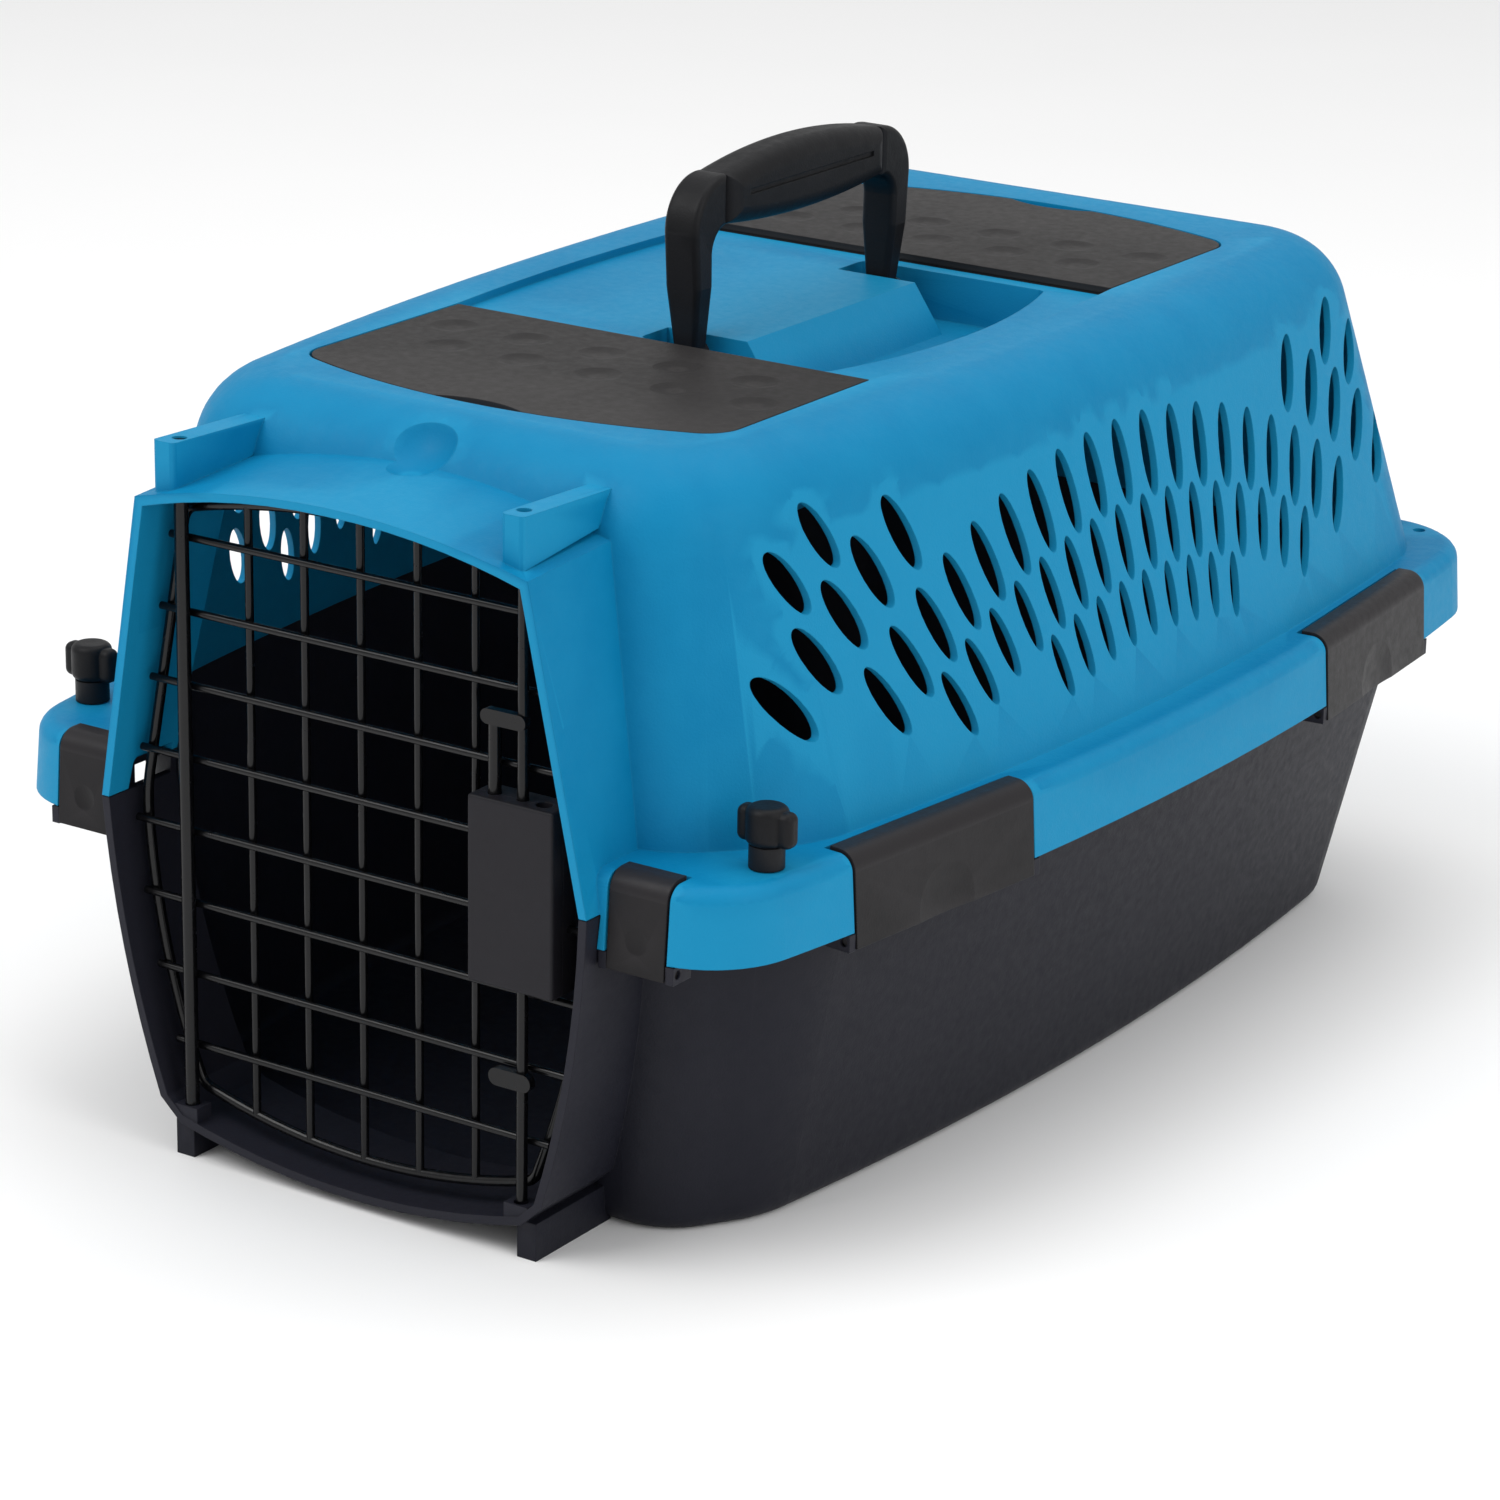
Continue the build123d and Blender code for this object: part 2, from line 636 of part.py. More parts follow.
def seats_and_wells():
    """What the two lids and their storage wells remove from the roof, about the roof's middle."""
    seat = slab(lid_outline(LID_GAP), SEAT_Z, FAR)
    well = box(-WELL_HALF, WELL_HALF, -WELL_OUTER_Y, -WELL_INNER_Y, WELL_FLOOR_Z, ROOF_Z)
    well = fillet(well.edges().filter_by(Axis.Z), WELL_RADIUS)
    groove = rod_x(-SEAT_HALF, SEAT_HALF, -LID_HINGE_Y, SEAT_Z, LID_GROOVE_RADIUS)
    pegs = rod_x(-LID_PEG_END - 1, LID_PEG_END + 1, -LID_HINGE_Y, SEAT_Z, LID_PEG_RADIUS + PEG_FIT)
    cut = seat + well + groove + pegs
    middle = slab(middle_outline(), SEAT_Z, FAR)
    return cut + front_to_rear(cut) + middle


def recess_outline():
    """Plan of the handle recess, bulging to the side that the handle folds to."""
    corner = (RECESS_CORNER_REACH, RECESS_END_Y)
    edges = [
        Edge.make_line((RECESS_BACK_X, -RECESS_END_Y), (corner[0], -corner[1])),
        Edge.make_three_point_arc((corner[0], -corner[1]), (RECESS_REACH, 0), corner),
        Edge.make_line(corner, (RECESS_BACK_X, RECESS_END_Y)),
        Edge.make_line((RECESS_BACK_X, RECESS_END_Y), (RECESS_BACK_X, -RECESS_END_Y)),
    ]
    face = Sketch() + Face(Wire(edges))
    return fillet(face.vertices(), 4.0)


def platform():
    """The raised block between the handle's legs, sloped on the folding side."""
    slope = Polyline(
        (RECESS_BACK_X - 1, RECESS_FLOOR_Z - 1), (PLATFORM_FOOT_X, RECESS_FLOOR_Z - 1),
        (PLATFORM_FOOT_X, RECESS_FLOOR_Z), (PLATFORM_TOP_X, SEAT_Z), (RECESS_BACK_X - 1, SEAT_Z), close=True,
    )
    face = Plane.XZ * make_face(slope)
    return extrude(face, amount=PLATFORM_END_Y, both=True)


def handle_recess():
    """What the folded handle needs out of the roof."""
    return slab(recess_outline(), RECESS_FLOOR_Z, ROOF_Z + 1) - platform()


def roof_tray():
    """Solid under the roof: a plate below the seats, the wells' walls and the recess's box."""
    half = WELL_HALF + TRAY_WALL
    reach = WELL_OUTER_Y + TRAY_WALL
    wells = box(-half, half, -reach, reach, WELL_FLOOR_Z - TRAY_WALL, SEAT_Z)
    between = WELL_INNER_Y - TRAY_WALL
    wells -= box(-half - 1, half + 1, -between, between, 0, SEAT_Z - DIVIDER_DEPTH)
    recess_end = RECESS_END_Y + TRAY_WALL
    wells -= box(-half - 1, half + 1, -recess_end, recess_end, 0, SEAT_Z - SEAT_PLATE)
    pocket = slab(offset(recess_outline(), TRAY_WALL), RECESS_FLOOR_Z - TRAY_WALL, SEAT_Z)
    hollow_end = PLATFORM_END_Y - TRAY_WALL - PIN_BITE
    pocket -= box(-FAR, PLATFORM_TOP_X - TRAY_WALL, -hollow_end, hollow_end, 0, SEAT_Z - SEAT_PLATE)
    plate = slab(lid_outline(LID_GAP + SEAT_PLATE), SEAT_Z - SEAT_PLATE, SEAT_Z + 1)
    middle = box(-SEAT_HALF - 6, SEAT_HALF + 6, -LID_INNER_Y, LID_INNER_Y, SEAT_Z - SEAT_PLATE, SEAT_Z + 1)
    return wells + pocket + plate + front_to_rear(plate) + middle


def pin_bores(radius):
    """The handle pins' holes through the recess ends and the platform ends."""
    bores = Part()
    for side in (-1, 1):
        inner = side * (PLATFORM_END_Y - PIN_BITE)
        outer = side * (RECESS_END_Y + PIN_BITE)
        bores += rod_y(inner, outer, 0, HANDLE_PIVOT_Z, radius)
    return bores


def ear():
    """A fin on the hood whose hole holds the top of a door rod."""
    low_front = SNOUT_TOP_Z - EAR_ROOT
    outline = Polyline(
        (EAR_FRONT_Y, low_front), (EAR_FRONT_Y, EAR_TOP_Z), (EAR_REAR_Y, EAR_TOP_Z - EAR_REAR_DROP),
        (EAR_REAR_Y - EAR_REAR_LEAN, low_front + EAR_REAR_RISE), close=True,
    )
    fin = extrude(Plane.YZ * make_face(outline), amount=EAR_WIDTH / 2, both=True)
    fin = fillet(fin.edges().filter_by(Axis.Z), EAR_ROUND)
    return Pos(EAR_CENTRE_X, 0, 0) * fin


# ---------------------------------------------------------------- shells

def outer_flange():
    """The flange and skirt as a solid, with the clips' notches and the snout's space cut away."""
    below = box(0, FAR, -FAR, 0, 0, SNOUT_PARTING_Z)
    flange = flange_half(0.0, FLANGE_TOP_Z) - snout_half(0.0, 0.0, SNOUT_BACK_Y)
    flange -= snout_half(-PART_GAP, 0.0, SNOUT_BACK_Y) & below
    for place, length in clip_places().values():
        flange -= place * clip_notch(length)
    return flange


def under_flange(body):
    """The space under the flange's plate, around the body's wall, bolt bosses and clip blocks."""
    space = flange_half(SKIRT_WALL, FLANGE_TOP_Z - FLANGE_PLATE) - body
    for x, y in ((KNOB_X, KNOB_Y), (REAR_HOLE_X, REAR_HOLE_Y)):
        space -= rod_z(x, y, JOINT_Z, FLANGE_TOP_Z, BOSS_RADIUS)
    for place, length in clip_places().values():
        space -= place * clip_block(length)
    return space


def upper_snout():
    """The snout above its parting line, clear of the base shell's wall behind it."""
    above = box(0, FAR, -FAR, FAR, SNOUT_PARTING_Z, FAR)
    in_base = box(-1, FAR, BASE_AT_JOINT[1] - PART_GAP, 0, 0, JOINT_Z)
    return (snout_half(0.0, 0.0, SNOUT_BACK_Y) & above) - in_base


def top_shell():
    """The coloured upper shell with its snout, skirt, vents, wells and handle recess."""
    body = top_half(0.0)
    shell = body - vent_cutters() + outer_flange() + upper_snout() + ear()
    shell -= under_flange(body)
    shell -= top_half(WALL)
    shell -= snout_half(SNOUT_WALL, CAVITY_FRONT_SHIFT, CAVITY_BACK_Y)
    shell -= rod_z(ROD_X, ROD_Y, SNOUT_PARTING_Z, FAR, HINGE_ROD_RADIUS + ROD_FIT)
    shell -= rod_z(KNOB_X, KNOB_Y, 0, FAR, BOLT_HOLE_RADIUS)
    shell -= rod_z(REAR_HOLE_X, REAR_HOLE_Y, 0, FAR, REAR_HOLE_RADIUS)
    shell = both_sides(shell)
    roof = Pos(0, ROOF_CENTRE_Y, 0)
    shell += roof * roof_tray()
    shell -= roof * seats_and_wells()
    shell -= roof * handle_recess()
    shell -= roof * pin_bores(HANDLE_PIN_RADIUS)
    shell += (Pos(*DENT_CENTRE) * Sphere(DENT_RADIUS + WALL)) & both_sides(body)
    return shell - Pos(*DENT_CENTRE) * Sphere(DENT_RADIUS)


def sill_boss():
    """The block in the doorway's corner that takes the foot of a door rod."""
    block = box(
        ROD_X - SILL_HALF_WIDTH, ROD_X + SILL_HALF_WIDTH,
        SILL_FRONT_Y, SILL_BACK_Y, SNOUT_BOTTOM_Z, SILL_TOP_Z,
    )
    return block & snout_half(0.0, 0.0, SNOUT_BACK_Y)


def base_shell():
    """The dark lower tub: floor, walls, rim plate, lower snout, front feet and clip lugs."""
    below = box(0, FAR, -FAR, FAR, -1, SNOUT_PARTING_Z - PART_GAP)
    snout = snout_half(0.0, 0.0, SNOUT_BACK_Y)
    drafted = SKIRT_DRAFT * (JOINT_Z - SKIRT_BOTTOM_Z) / (FLANGE_TOP_Z - SKIRT_BOTTOM_Z)
    rim = flange_section(JOINT_Z - BASE_RIM_PLATE, SKIRT_WALL + drafted + RIM_GAP)
    rim = extrude(rim, amount=BASE_RIM_PLATE, dir=(0, 0, 1))
    rim -= box(-1, SNOUT_MIDDLE_X + PART_GAP, -FAR, BASE_AT_JOINT[1], 0, FAR)
    for place, length in clip_places().values():
        rim += place * clip_lugs(length)
    foot = box(FOOT_X - FOOT_WIDTH / 2, FOOT_X + FOOT_WIDTH / 2, FOOT_FRONT_Y, FOOT_REAR_Y, 0, FOOT_TOP_Z)
    shell = base_half(0.0) + rim + (snout & below) + foot
    shell -= base_half(WALL)
    shell -= snout_half(SNOUT_WALL, CAVITY_FRONT_SHIFT, CAVITY_BACK_Y)
    shell += sill_boss()
    shell -= rod_z(ROD_X, ROD_Y, SILL_HOLE_Z, SNOUT_PARTING_Z, HINGE_ROD_RADIUS + ROD_FIT)
    shell -= rod_z(KNOB_X, KNOB_Y, 0, FAR, BOLT_HOLE_RADIUS)
    shell -= rod_z(REAR_HOLE_X, REAR_HOLE_Y, 0, FAR, REAR_HOLE_RADIUS)
    return both_sides(shell)


# ---------------------------------------------------------------- lids and handle

def dimples():
    """Shallow staggered dents that texture a lid."""
    dents = []
    sphere_radius = (DIMPLE_RADIUS ** 2 + DIMPLE_DEPTH ** 2) / (2 * DIMPLE_DEPTH)
    for row_y, row in DIMPLE_ROWS:
        for x in row:
            centre_z = SEAT_Z + PART_GAP + LID_THICKNESS + sphere_radius - DIMPLE_DEPTH
            dents.append(Pos(x, -row_y, centre_z) * Sphere(sphere_radius))
    return dents


def lid():
    """The front lid about the roof's middle: a plate, its hinge rib and pegs, and a finger notch."""
    lid_z = SEAT_Z + PART_GAP
    plate = slab(lid_outline(0.0), lid_z, lid_z + LID_THICKNESS)
    half = SEAT_HALF - LID_GAP
    rib = rod_x(-half, half, -LID_HINGE_Y, SEAT_Z, LID_KNUCKLE_RADIUS)
    pegs = rod_x(-LID_PEG_END, LID_PEG_END, -LID_HINGE_Y, SEAT_Z, LID_PEG_RADIUS)
    notch_y = -LID_END_Y - NOTCH_RADIUS + NOTCH_DEPTH
    notch = rod_z(0, notch_y, 0, FAR, NOTCH_RADIUS)
    return plate + rib + pegs - notch - dimples()


def handle_outline():
    """Side outline of one leg and its corner, closed along the seam with the grip."""
    points_up = [
        Edge.make_line((LEG_INNER_FOOT_Y, HANDLE_PIVOT_Z), (HANDLE_INNER_Y, LEG_INNER_BEND_Z)),
        Edge.make_three_point_arc(
            (HANDLE_INNER_Y, LEG_INNER_BEND_Z), LEG_INNER_BEND, (HANDLE_SEAM_Y, HANDLE_UNDER_Z),
        ),
        Edge.make_line((HANDLE_SEAM_Y, HANDLE_UNDER_Z), (HANDLE_SEAM_Y, HANDLE_SEAM_TOP_Z)),
        Edge.make_three_point_arc(
            (HANDLE_SEAM_Y, HANDLE_SEAM_TOP_Z), LEG_OUTER_BEND, (HANDLE_OUTER_Y, LEG_TAPER_Z),
        ),
        Edge.make_line((HANDLE_OUTER_Y, LEG_TAPER_Z), (LEG_FOOT_OUTER_Y, HANDLE_PIVOT_Z)),
        Edge.make_line((LEG_FOOT_OUTER_Y, HANDLE_PIVOT_Z), (LEG_INNER_FOOT_Y, HANDLE_PIVOT_Z)),
    ]
    return Sketch() + Face(Wire(points_up))


def handle_frame():
    """Both legs with their eyes, joined by the core that runs through the grip."""
    leg = extrude(Plane.YZ * handle_outline(), amount=HANDLE_THICK / 2, both=True)
    foot = LEG_FOOT_THICK / 2
    top = HANDLE_THICK / 2
    taper = Polyline(
        (-foot, HANDLE_PIVOT_Z), (-top, LEG_STRAIGHT_Z), (-top, HANDLE_TOP_Z),
        (top, HANDLE_TOP_Z), (top, LEG_STRAIGHT_Z), (foot, HANDLE_PIVOT_Z), close=True,
    )
    leg = leg & extrude(Plane.XZ * make_face(taper), amount=-FAR)
    leg = soften(leg, LEG_SOFTNESS)
    leg += rod_y(LEG_INNER_FOOT_Y, LEG_FOOT_OUTER_Y, 0, HANDLE_PIVOT_Z, LEG_EYE_RADIUS)
    leg -= rod_y(0, FAR, 0, HANDLE_PIVOT_Z, HANDLE_PIN_RADIUS + PIN_FIT)
    width, height = HANDLE_CORE
    low = HANDLE_CORE_Z - height / 2
    core = box(-width / 2, width / 2, -CORE_END_Y, CORE_END_Y, low, low + height)
    return leg + front_to_rear(leg) + core


def soften(shape, radius):
    """Rounds the long outer edges that face front, rear, left and right."""
    edges = [edge for edge in shape.edges() if edge.length > MIN_SOFT_EDGE and abs(edge.center().X) > 1.0]
    return fillet(edges, radius)


def handle_grip():
    """The arched cover over the handle's core."""
    arch = [
        Edge.make_three_point_arc(
            (-HANDLE_SEAM_Y, HANDLE_SEAM_TOP_Z), (0, HANDLE_TOP_Z), (HANDLE_SEAM_Y, HANDLE_SEAM_TOP_Z),
        ),
        Edge.make_line((HANDLE_SEAM_Y, HANDLE_SEAM_TOP_Z), (HANDLE_SEAM_Y, HANDLE_UNDER_Z)),
        Edge.make_three_point_arc(
            (HANDLE_SEAM_Y, HANDLE_UNDER_Z), (0, HANDLE_BELLY_Z), (-HANDLE_SEAM_Y, HANDLE_UNDER_Z),
        ),
        Edge.make_line((-HANDLE_SEAM_Y, HANDLE_UNDER_Z), (-HANDLE_SEAM_Y, HANDLE_SEAM_TOP_Z)),
    ]
    grip = extrude(Plane.YZ * (Sketch() + Face(Wire(arch))), amount=GRIP_THICK / 2, both=True)
    grip = soften(grip, GRIP_ROUND)
    width, height = HANDLE_CORE
    grip -= box(-width / 2, width / 2, -FAR, FAR, HANDLE_CORE_Z - height / 2, HANDLE_CORE_Z + height / 2)
    low, high = GROOVE_Z - GROOVE_HALF, GROOVE_Z + GROOVE_HALF
    for side in (-1, 1):
        inner = side * (GRIP_THICK / 2 - GRIP_GROOVE_DEPTH)
        grip -= box(inner, side * GRIP_THICK, -GRIP_GROOVE_Y, GRIP_GROOVE_Y, low, high)
    return grip


# ---------------------------------------------------------------- door

def outline_face():
    """The door's outline: straight slanted sides bulging at the middle, arched top and sill."""
    low_x, low_z = DOOR_BOTTOM_CORNER
    top_x, top_z = DOOR_TOP_CORNER
    side_x_at, side_z = DOOR_LOW_SIDE
    edges = [Edge.make_three_point_arc((-low_x, low_z), (0, DOOR_BOTTOM_Z), (low_x, low_z))]
    edges.append(Edge.make_three_point_arc((low_x, low_z), (side_x_at, side_z), DOOR_MIDDLE))
    edges.append(Edge.make_line(DOOR_MIDDLE, (top_x, top_z)))
    edges.append(Edge.make_three_point_arc((top_x, top_z), (0, DOOR_TOP_Z), (-top_x, top_z)))
    edges.append(Edge.make_line((-top_x, top_z), (-DOOR_MIDDLE[0], DOOR_MIDDLE[1])))
    edges.append(Edge.make_three_point_arc(
        (-DOOR_MIDDLE[0], DOOR_MIDDLE[1]), (-side_x_at, side_z), (-low_x, low_z),
    ))
    face = Sketch() + Face(Wire(edges))
    for side in (-1, 1):
        for corner_x, corner_z in (DOOR_BOTTOM_CORNER, DOOR_TOP_CORNER):
            corner = face.vertices().sort_by_distance((side * corner_x, corner_z, 0))[0]
            face = fillet(corner, OUTLINE_CORNER)
        bend = face.vertices().sort_by_distance((side * DOOR_MIDDLE[0], DOOR_MIDDLE[1], 0))[0]
        face = fillet(bend, OUTLINE_BEND)
    return face


def door_outline_wire():
    """The bent wire round the door's edge."""
    door_plane = Plane(origin=(0, OUTLINE_Y, 0), x_dir=(1, 0, 0), z_dir=(0, -1, 0))
    path = (door_plane * outline_face()).face().outer_wire()
    start = path @ 0
    along = path % 0
    section = Plane(origin=start, z_dir=along) * Circle(OUTLINE_RADIUS)
    return sweep(section, path=path)


def outline_span(position, upright):
    """Where a straight wire at x (upright) or z crosses the door's outline: low and high ends."""
    if upright:
        probe = Edge.make_line((position, -FAR), (position, FAR))
    else:
        probe = Edge.make_line((-FAR, position), (FAR, position))
    inside = probe & outline_face()
    bounds = inside.bounding_box()
    if upright:
        return bounds.min.Y, bounds.max.Y
    return bounds.min.X, bounds.max.X


def door_upright_wires():
    wires = []
    for step in range(UPRIGHT_COUNT):
        x = (step - (UPRIGHT_COUNT - 1) / 2) * UPRIGHT_PITCH
        low, high = outline_span(x, True)
        wires.append(rod_z(x, UPRIGHT_Y, low, high, UPRIGHT_RADIUS))
    return Compound(children=[wire.solid() for wire in wires])


def door_cross_wires():
    """Cross wires in front of the uprights; two of them stop at the latch housing."""
    wires = []
    for step in range(HORIZONTAL_COUNT):
        z = HORIZONTAL_FIRST_Z + step * HORIZONTAL_PITCH
        low, high = outline_span(z, False)
        low -= CROSS_OVERHANG
        high += CROSS_OVERHANG
        if HOUSING_Z[0] < z < HOUSING_Z[1]:
            wires.append(rod_x(low, HOUSING_X[0], HORIZONTAL_Y, z, HORIZONTAL_RADIUS))
            wires.append(rod_x(HOUSING_X[1], high, HORIZONTAL_Y, z, HORIZONTAL_RADIUS))
        else:
            wires.append(rod_x(low, high, HORIZONTAL_Y, z, HORIZONTAL_RADIUS))
    return Compound(children=[wire.solid() for wire in wires])


# ---------------------------------------------------------------- latch

def latch_housing():
    """The whole housing before it is split: a box with guides, a divider and rod holes."""
    outer = box(*HOUSING_X, *HOUSING_Y, *HOUSING_Z)
    outer = fillet(outer.edges(), HOUSING_ROUND)
    inner = [
        HOUSING_X[0] + HOUSING_WALL, HOUSING_X[1] - HOUSING_WALL,
        HOUSING_Y[0] + HOUSING_WALL, HOUSING_Y[1] - HOUSING_WALL,
    ]
    middle_z = (HOUSING_Z[0] + HOUSING_Z[1]) / 2
    guide_low = HOUSING_Z[0] + HOUSING_WALL + GUIDE_LENGTH
    guide_high = HOUSING_Z[1] - HOUSING_WALL - GUIDE_LENGTH
    housing = outer - box(*inner, guide_low, middle_z - HOUSING_DIVIDER / 2)
    housing -= box(*inner, middle_z + HOUSING_DIVIDER / 2, guide_high)
    housing -= rod_z(ROD_X, ROD_Y, 0, guide_low + 1, LATCH_ROD_RADIUS + ROD_FIT)
    housing -= rod_z(ROD_X, ROD_Y, guide_high - 1, FAR, LATCH_ROD_RADIUS + ROD_FIT)
    housing -= rod_z(PLUNGER_X, ROD_Y, guide_high - 1, FAR, PLUNGER_RADIUS + ROD_FIT)
    return housing - rod_z(SPARE_HOLE_X, ROD_Y, guide_high - 1, FAR, SPARE_HOLE_RADIUS)


def finger_tab(x0, x1, z, height):
    """A flat tab with round ends that a finger pushes."""
    width = x1 - x0
    slot = Plane.XZ * (Pos((x0 + x1) / 2, z) * SlotOverall(width, height))
    return Pos(0, TAB_Y, 0) * extrude(slot, amount=TAB_THICK / 2, both=True)


def upper_latch_rod():
    """The rod that slides up into the right ear, with its plunger beside it."""
    rod = rod_z(ROD_X, ROD_Y, UPPER_ROD_FOOT_Z, LATCH_ROD_TOP, LATCH_ROD_RADIUS)
    rod += rod_z(ROD_X, ROD_Y, UPPER_ROD_FOOT_Z, UPPER_ROD_FOOT_Z + COLLAR_THICK, COLLAR_RADIUS)
    x0, x1, z = UPPER_TAB
    rod += rod_z(PLUNGER_X, ROD_Y, UPPER_ROD_FOOT_Z, z, PLUNGER_RADIUS)
    return rod + finger_tab(x0, x1, z, UPPER_TAB_HEIGHT)


def lower_latch_rod():
    """The rod that slides down into the sill."""
    rod = rod_z(ROD_X, ROD_Y, LATCH_ROD_FOOT_Z, LOWER_ROD_HEAD_Z, LATCH_ROD_RADIUS)
    rod += rod_z(ROD_X, ROD_Y, LOWER_ROD_HEAD_Z - COLLAR_THICK, LOWER_ROD_HEAD_Z, COLLAR_RADIUS)
    x0, x1, z = LOWER_TAB
    return rod + finger_tab(x0, x1, z, LOWER_TAB_HEIGHT)


# ---------------------------------------------------------------- knobs

def wing_knob():
    """A knob with a round stem, a domed head and two wings, bored for its bolt."""
    base = FLANGE_TOP_Z + KNOB_CLEAR
    stem = Pos(0, 0, base + KNOB_STEM_HEIGHT / 2) * Cylinder(KNOB_STEM_RADIUS, KNOB_STEM_HEIGHT)
    head_height = KNOB_HEIGHT - KNOB_STEM_HEIGHT - KNOB_CLEAR
    head = Cylinder(KNOB_HEAD_RADIUS, head_height)
    head = fillet(head.edges(), KNOB_ROUND)
    wings = Pos(0, 0, -WING_DROP) * Box(KNOB_WING, KNOB_WING_THICK, head_height - 2 * WING_DROP)
    wings = fillet(wings.edges(), KNOB_ROUND)
    knob = stem + Pos(0, 0, FLANGE_TOP_Z + KNOB_HEIGHT - head_height / 2) * (head + wings)
    return knob - rod_z(0, 0, 0, FLANGE_TOP_Z + BOLT_DEPTH + PART_GAP, BOLT_RADIUS + PEG_FIT)


def lock_bolt():
    """The bolt under the rim that a wing knob tightens."""
    under = JOINT_Z - BASE_RIM_PLATE
    shank = rod_z(0, 0, under, FLANGE_TOP_Z + BOLT_DEPTH, BOLT_RADIUS)
    head = rod_z(0, 0, under - BOLT_HEAD_THICK, under, BOLT_HEAD_RADIUS)
    return shank + fillet(head.edges(), BOLT_HEAD_ROUND)


# ---------------------------------------------------------------- pieces

def make_shells_and_roof():
    keep("top_shell", top_shell())
    keep("base_shell", base_shell())
    roof = Pos(0, ROOF_CENTRE_Y, 0)
    front_lid = lid()
    keep("front_storage_lid", roof * front_lid)
    keep("rear_storage_lid", roof * front_to_rear(front_lid))
    keep("handle_frame", roof * handle_frame())
    keep("handle_grip", roof * handle_grip())
    pin = rod_y(PLATFORM_END_Y - PIN_BITE, RECESS_END_Y + PIN_BITE, 0, HANDLE_PIVOT_Z, HANDLE_PIN_RADIUS)
    keep("handle_pin_rear", roof * pin)
    keep("handle_pin_front", roof * front_to_rear(pin))


def make_door():
    keep("door_outline_wire", door_outline_wire())
    keep("door_upright_wires", door_upright_wires())
    keep("door_cross_wires", door_cross_wires())
    keep("door_hinge_rod", rod_z(-ROD_X, ROD_Y, HINGE_ROD_FOOT_Z, HINGE_ROD_TOP, HINGE_ROD_RADIUS))
    housing = latch_housing()
    keep("latch_housing_front", housing & box(-FAR, FAR, -FAR, ROD_Y, -FAR, FAR))
    keep("latch_housing_back", housing & box(-FAR, FAR, ROD_Y, FAR, -FAR, FAR))
    keep("upper_latch_rod", upper_latch_rod())
    keep("lower_latch_rod", lower_latch_rod())


def make_clips_and_knobs():
    for name, (place, length) in clip_places().items():
        right = place * clip(length)
        keep(name + "_right", right)
        keep(name + "_left", left_of(right))
    knob = Pos(KNOB_X, KNOB_Y, 0) * wing_knob()
    bolt = Pos(KNOB_X, KNOB_Y, 0) * lock_bolt()
    keep("wing_knob_right", knob)
    keep("wing_knob_left", left_of(knob))
    keep("lock_bolt_right", bolt)
    keep("lock_bolt_left", left_of(bolt))


make_shells_and_roof()
make_door()
make_clips_and_knobs()
os.makedirs("parts", exist_ok=True)
for part_name, part_shape in made.items():
    export_step(part_shape, f"parts/{part_name}.step")
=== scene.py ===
import math

import bpy
from mathutils import Matrix, Vector

# Looks of the pet carrier: moulded plastic shells, black coated wire, and a soft studio.
# Everything is in metres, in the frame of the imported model.

# ---- camera
CAMERA_PLACE = (0.9847, -1.5187, 0.7189)
CAMERA_AZIMUTH = 33.267
CAMERA_ELEVATION = 19.011
CAMERA_ROLL = 1.109
CAMERA_LENS = 118.6
CAMERA_SENSOR = 36.0
CAMERA_REACH = 50.0

# ---- colours, linear: the plain surface, and a lighter tint for mottling and for the painted highlight on its edges
BLUE = (0.0, 0.178, 0.365)
BLUE_LIGHT = (0.010, 0.26, 0.47)
CHARCOAL = (0.0095, 0.010, 0.0160)
CHARCOAL_LIGHT = (0.019, 0.019, 0.027)
CLIP_BROWN = (0.0095, 0.0088, 0.0098)
CLIP_LIGHT = (0.024, 0.022, 0.024)
LID_BROWN = (0.0185, 0.0175, 0.0178)
LID_LIGHT = (0.036, 0.034, 0.034)
HOUSING = (0.0045, 0.0042, 0.0060)
HOUSING_LIGHT = (0.018, 0.017, 0.021)
BLACK = (0.0045, 0.0047, 0.0057)
BLACK_LIGHT = (0.014, 0.014, 0.016)
WIRE = (0.0016, 0.0016, 0.0020)
STEEL = (0.42, 0.42, 0.43)
FLOOR = (0.93, 0.93, 0.93)
WORLD = (1.0, 1.0, 1.0)

# ---- moulded plastic: sizes in metres, then shares
GRAIN_SIZE = 0.0009
GRAIN_DEPTH = 0.00009
FINE_GRAIN_DEPTH = 0.00005
MOTTLE_SIZE = 0.03
MOTTLE_RANGE = (0.35, 0.75)
MOTTLE_TINT = 0.25
SCUFF_SIZE = 0.004
EDGE_ROUND = 0.0006
EDGE_SAMPLES = 4
EDGE_RANGE = (0.505, 0.56)
# share of the lighter tint on sharp edges: a painted highlight
EDGE_HIGHLIGHT_SHARE = 0.6
SHEEN_BELOW = 0.05
SHEEN_ABOVE = 0.07
MATTE_SPECULAR = 0.16
LOW_SPECULAR = 0.12
NOISE_ROUGHNESS = 0.6
NOISE_RANGE = (0.3, 0.7)

# ---- wire coating and steel
COATING_MOTTLE = 0.006
COATING_LUMP = 0.003
COATING_DEPTH = 0.00006
COATING_BUMP = 0.6
COATING_SHEEN = (0.16, 0.28)
COATING_SPECULAR = 0.3
STEEL_MOTTLE = 0.002
STEEL_TINT = 0.8
STEEL_SHEEN = (0.3, 0.45)

# ---- studio
FLOOR_SIZE = 30.0
FLOOR_MOTTLE = 0.4
FLOOR_TINT = 0.985
FLOOR_ROUGHNESS = 0.9
WORLD_STRENGTH = 0.70
LIGHT_TARGET = (0.0, 0.0, 0.15)
